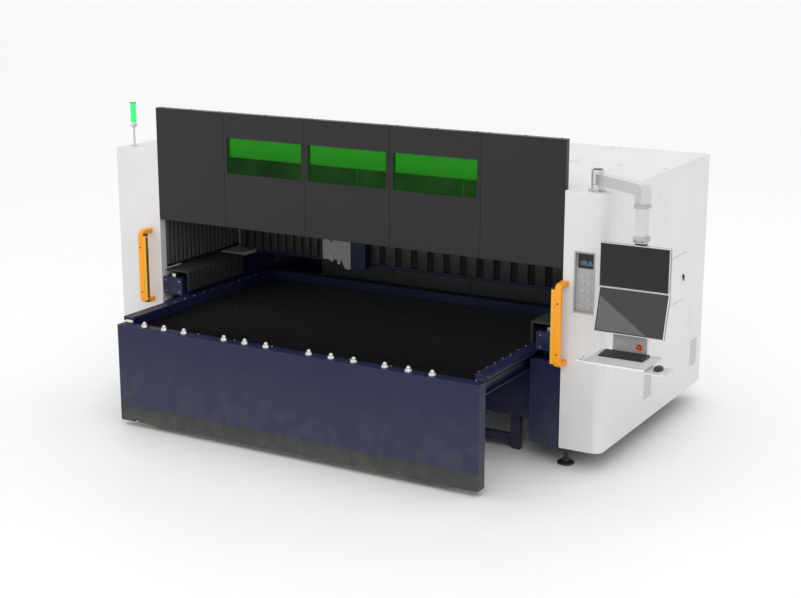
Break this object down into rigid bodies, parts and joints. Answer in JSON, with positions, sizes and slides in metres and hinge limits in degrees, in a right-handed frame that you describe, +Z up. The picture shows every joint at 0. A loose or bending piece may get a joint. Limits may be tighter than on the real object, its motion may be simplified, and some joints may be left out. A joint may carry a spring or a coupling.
{
  "type": "fiber laser cutting machine",
  "caption": "Enclosed flatbed laser cutter with a shuttle table on slats, a gantry-borne cutting head, green viewing windows, a beacon lamp and an operator console on a swing arm",
  "frame": {"origin": "on the floor under the middle of the box around the whole machine at rest", "axes": "X along the front from the beacon side to the console side, Y from the loading front to the back, Z up"},
  "size_m": [4.992, 2.957, 2.401],
  "materials": {
    "navy_paint": "satin deep blue powder coat",
    "white_paint": "satin warm white powder coat",
    "charcoal_paint": "satin charcoal powder coat",
    "kick_paint": "matt near-black paint",
    "grey_paint": "satin grey paint",
    "orange_paint": "satin orange powder coat",
    "yellow_plastic": "satin yellow",
    "green_pane": "transparent green acrylic",
    "lamp_green": "ribbed translucent green",
    "black_plastic": "fine-grained black",
    "black_gloss": "glossy black screen",
    "grey_plastic": "fine-grained light grey",
    "red_plastic": "glossy red",
    "bellows": "dark coated lamellae",
    "dark_steel": "dark scaled steel",
    "steel": "ground steel",
    "aluminium": "brushed and clear anodised"
  },
  "bodies": {
    "machine": {"bed_side_left": "navy_paint", "bed_side_right": "navy_paint", "bed_cross_beams": "navy_paint", "levelling_feet": "dark_steel", "pillar_cover_left": "white_paint", "pillar_cover_right": "white_paint", "side_panels_left": "white_paint", "side_panels_right": "white_paint", "rear_wall": "white_paint", "roof_panels": "white_paint", "bulkhead_plain_panels": "charcoal_paint", "bulkhead_window_panels": "charcoal_paint", "bulkhead_frame": "charcoal_paint", "window_panes": "green_pane", "light_tower_stand": "aluminium", "light_tower_lamp": "lamp_green", "guard_bars": "orange_paint", "light_curtains": "yellow_plastic", "control_housing": "grey_paint", "control_display": "black_gloss", "gantry_rails": "steel", "rail_bellows_front": "bellows", "rail_bellows_rear": "bellows", "arm_post": "aluminium"},
    "rollers": {"support_rollers": "steel"},
    "door": {"access_door": "white_paint"},
    "latch": {"door_latch": "black_plastic"},
    "table": {"table_front_panel": "navy_paint", "table_kick_band": "kick_paint", "table_side_beams": "navy_paint", "table_cross_members": "navy_paint", "table_slats": "dark_steel", "ball_units": "steel"},
    "table_wheels": {"table_wheel_set": "dark_steel"},
    "gantry": {"gantry_saddles": "grey_paint", "gantry_beam": "navy_paint", "cross_bellows_left": "bellows", "cross_bellows_right": "bellows"},
    "carriage": {"carriage": "navy_paint", "head_cover": "grey_paint"},
    "head": {"cutting_head": "aluminium", "nozzle": "steel"},
    "boom": {"arm_boom": "aluminium"},
    "console": {"console_column": "aluminium", "keyboard_tray": "grey_plastic", "keyboard": "black_plastic", "mouse": "black_plastic"},
    "upper_monitor": {"upper_monitor": "black_gloss"},
    "lower_monitor": {"lower_monitor": "black_gloss"},
    "emergency_stop": {"emergency_stop": "red_plastic"},
    "key_1": {"key_1": "grey_plastic"},
    "key_2": {"key_2": "grey_plastic"},
    "key_3": {"key_3": "grey_plastic"},
    "key_4": {"key_4": "grey_plastic"},
    "key_5": {"key_5": "grey_plastic"},
    "key_6": {"key_6": "grey_plastic"},
    "key_7": {"key_7": "grey_plastic"},
    "key_8": {"key_8": "grey_plastic"},
    "key_9": {"key_9": "grey_plastic"},
    "key_10": {"key_10": "grey_plastic"}
  },
  "joints": [
    {"name": "table_slide", "type": "slide", "parent": "machine", "child": "table", "axis": [0, 1, 0], "range_m": [-0.8, 0.735]},
    {"name": "table_wheel_roll", "type": "hinge", "parent": "table", "child": "table_wheels", "pos_m": [0, -1.2865, 0.07], "axis": [1, 0, 0], "range_deg": [-620, 670]},
    {"name": "support_roller_roll", "type": "hinge", "parent": "machine", "child": "rollers", "pos_m": [0, -0.4465, 0.6677], "axis": [1, 0, 0], "range_deg": [-1950, 2120]},
    {"name": "gantry_slide", "type": "slide", "parent": "machine", "child": "gantry", "axis": [0, 1, 0], "range_m": [-0.7, 0.7], "deforming": ["rail_bellows_front", "rail_bellows_rear"]},
    {"name": "carriage_slide", "type": "slide", "parent": "gantry", "child": "carriage", "axis": [1, 0, 0], "range_m": [-0.8, 1.92], "deforming": ["cross_bellows_left", "cross_bellows_right"]},
    {"name": "head_slide", "type": "slide", "parent": "carriage", "child": "head", "axis": [0, 0, 1], "range_m": [-0.2, 0.03]},
    {"name": "boom_swivel", "type": "hinge", "parent": "machine", "child": "boom", "pos_m": [1.72201, -0.5245, 2.125], "axis": [0, 0, 1], "range_deg": [-50, 90]},
    {"name": "console_swivel", "type": "hinge", "parent": "boom", "child": "console", "pos_m": [2.15799, -0.78131, 2.05], "axis": [0, 0, 1], "range_deg": [-20, 30]},
    {"name": "upper_monitor_tilt", "type": "hinge", "parent": "console", "child": "upper_monitor", "pos_m": [2.15799, -0.80531, 1.602], "axis": [1, 0, 0], "range_deg": [-8, 8]},
    {"name": "lower_monitor_tilt", "type": "hinge", "parent": "console", "child": "lower_monitor", "pos_m": [2.15799, -0.83931, 1.268], "axis": [1, 0, 0], "range_deg": [-10, 10]},
    {"name": "emergency_stop_push", "type": "slide", "parent": "console", "child": "emergency_stop", "axis": [0, 1, 0], "range_m": [0, 0.004]},
    {"name": "door_swing", "type": "hinge", "parent": "machine", "child": "door", "pos_m": [1.85631, 0.676, 1.1365], "axis": [0, 0, -1], "range_deg": [0, 110]},
    {"name": "latch_turn", "type": "hinge", "parent": "door", "child": "latch", "pos_m": [1.84801, 0.9725, 1.1365], "axis": [1, 0, 0], "range_deg": [0, 90]},
    {"name": "key_1_push", "type": "slide", "parent": "machine", "child": "key_1", "axis": [0, 1, 0], "range_m": [0, 0.002], "stiffness_N_per_m": 300},
    {"name": "key_2_push", "type": "slide", "parent": "machine", "child": "key_2", "axis": [0, 1, 0], "range_m": [0, 0.002], "stiffness_N_per_m": 300},
    {"name": "key_3_push", "type": "slide", "parent": "machine", "child": "key_3", "axis": [0, 1, 0], "range_m": [0, 0.002], "stiffness_N_per_m": 300},
    {"name": "key_4_push", "type": "slide", "parent": "machine", "child": "key_4", "axis": [0, 1, 0], "range_m": [0, 0.002], "stiffness_N_per_m": 300},
    {"name": "key_5_push", "type": "slide", "parent": "machine", "child": "key_5", "axis": [0, 1, 0], "range_m": [0, 0.002], "stiffness_N_per_m": 300},
    {"name": "key_6_push", "type": "slide", "parent": "machine", "child": "key_6", "axis": [0, 1, 0], "range_m": [0, 0.002], "stiffness_N_per_m": 300},
    {"name": "key_7_push", "type": "slide", "parent": "machine", "child": "key_7", "axis": [0, 1, 0], "range_m": [0, 0.002], "stiffness_N_per_m": 300},
    {"name": "key_8_push", "type": "slide", "parent": "machine", "child": "key_8", "axis": [0, 1, 0], "range_m": [0, 0.002], "stiffness_N_per_m": 300},
    {"name": "key_9_push", "type": "slide", "parent": "machine", "child": "key_9", "axis": [0, 1, 0], "range_m": [0, 0.002], "stiffness_N_per_m": 300},
    {"name": "key_10_push", "type": "slide", "parent": "machine", "child": "key_10", "axis": [0, 1, 0], "range_m": [0, 0.002], "stiffness_N_per_m": 300}
  ],
  "couplings": [
    {"joint": "table_wheel_roll", "follows": "table_slide", "rad_per_m": -14.286},
    {"joint": "support_roller_roll", "follows": "table_slide", "rad_per_m": -45.455}
  ]
}
